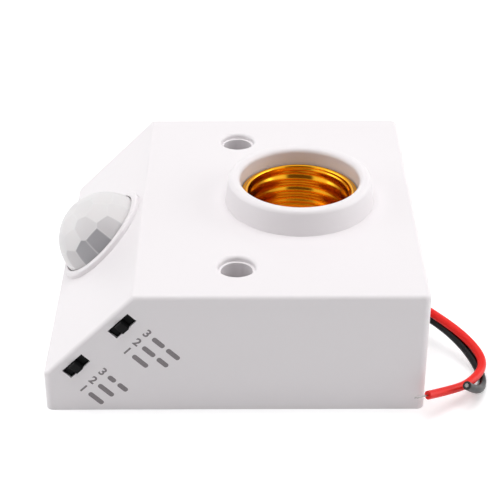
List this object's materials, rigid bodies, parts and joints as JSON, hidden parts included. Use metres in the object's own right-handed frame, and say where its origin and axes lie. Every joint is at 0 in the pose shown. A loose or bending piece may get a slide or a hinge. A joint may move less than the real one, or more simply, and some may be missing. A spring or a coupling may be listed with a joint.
{
  "type": "motion sensor lamp holder",
  "caption": "White box lamp holder with a raised screw socket, a sloped end with a domed motion sensor lens, slide switches and bare-ended supply leads.",
  "frame": {"origin": "centre of the back face, which lies against the wall or ceiling", "axes": "+Z out of the back along the lamp socket's axis; -X towards the sloped lens end; -Y towards the side with the two slide switches"},
  "size_m": [0.1106, 0.1005, 0.0397],
  "materials": {
    "housing_plastic": "smooth white moulding",
    "plate_plastic": "satin white moulding",
    "base_plastic": "matt heat-proof moulding",
    "lens_plastic": "milky translucent",
    "black_plastic": "satin black",
    "brass": "bright pressed brass",
    "zinc_steel": "zinc plated",
    "tinned_copper": "tinned",
    "board_green": "solder mask",
    "board_brown": "phenolic",
    "relay_blue": "satin",
    "film_yellow": "satin",
    "sleeve_dark": "shrink sleeve",
    "ceramic_green": "dipped",
    "window_glass": "coated filter",
    "red_insulation": "soft glossy",
    "black_insulation": "soft glossy",
    "white_insulation": "soft glossy"
  },
  "bodies": {
    "housing": {"housing_shell": "housing_plastic", "base_plate": "plate_plastic", "base_screws": "zinc_steel", "socket_base": "base_plastic", "socket_base_screws": "zinc_steel", "screw_shell": "brass", "shell_rivets": "brass", "centre_contact": "brass", "contact_rivet": "brass", "shell_tag": "brass", "contact_tag": "brass", "shell_wire": "white_insulation", "contact_wire": "red_insulation", "fresnel_lens": "lens_plastic", "lens_retainer": "plate_plastic", "sensor_board": "board_green", "sensor_board_screws": "zinc_steel", "pir_sensor_can": "zinc_steel", "pir_window": "window_glass", "pir_pins": "tinned_copper", "light_cell": "film_yellow", "board_link": "tinned_copper", "main_board": "board_brown", "main_board_screws": "zinc_steel", "relay": "relay_blue", "film_capacitor": "film_yellow", "can_capacitors": "sleeve_dark", "control_chip": "black_plastic", "varistor": "ceramic_green", "fuse_resistor": "ceramic_green", "rectifier_diodes": "black_plastic", "resistors": "film_yellow", "drive_transistor": "black_plastic", "red_lead": "red_insulation", "red_lead_strands": "tinned_copper", "black_lead": "black_insulation", "black_lead_strands": "tinned_copper", "light_switch_case": "black_plastic", "light_switch_base": "black_plastic", "light_switch_pins": "tinned_copper", "time_switch_case": "black_plastic", "time_switch_base": "black_plastic", "time_switch_pins": "tinned_copper"},
    "light_knob": {"light_switch_knob": "black_plastic"},
    "time_knob": {"time_switch_knob": "black_plastic"}
  },
  "joints": [
    {"name": "light_switch_slide", "type": "slide", "parent": "housing", "child": "light_knob", "axis": [0.7071, 0, 0.7071], "range_m": [-0.002, 0.002]},
    {"name": "time_switch_slide", "type": "slide", "parent": "housing", "child": "time_knob", "axis": [0.7071, 0, 0.7071], "range_m": [-0.002, 0.002]}
  ]
}
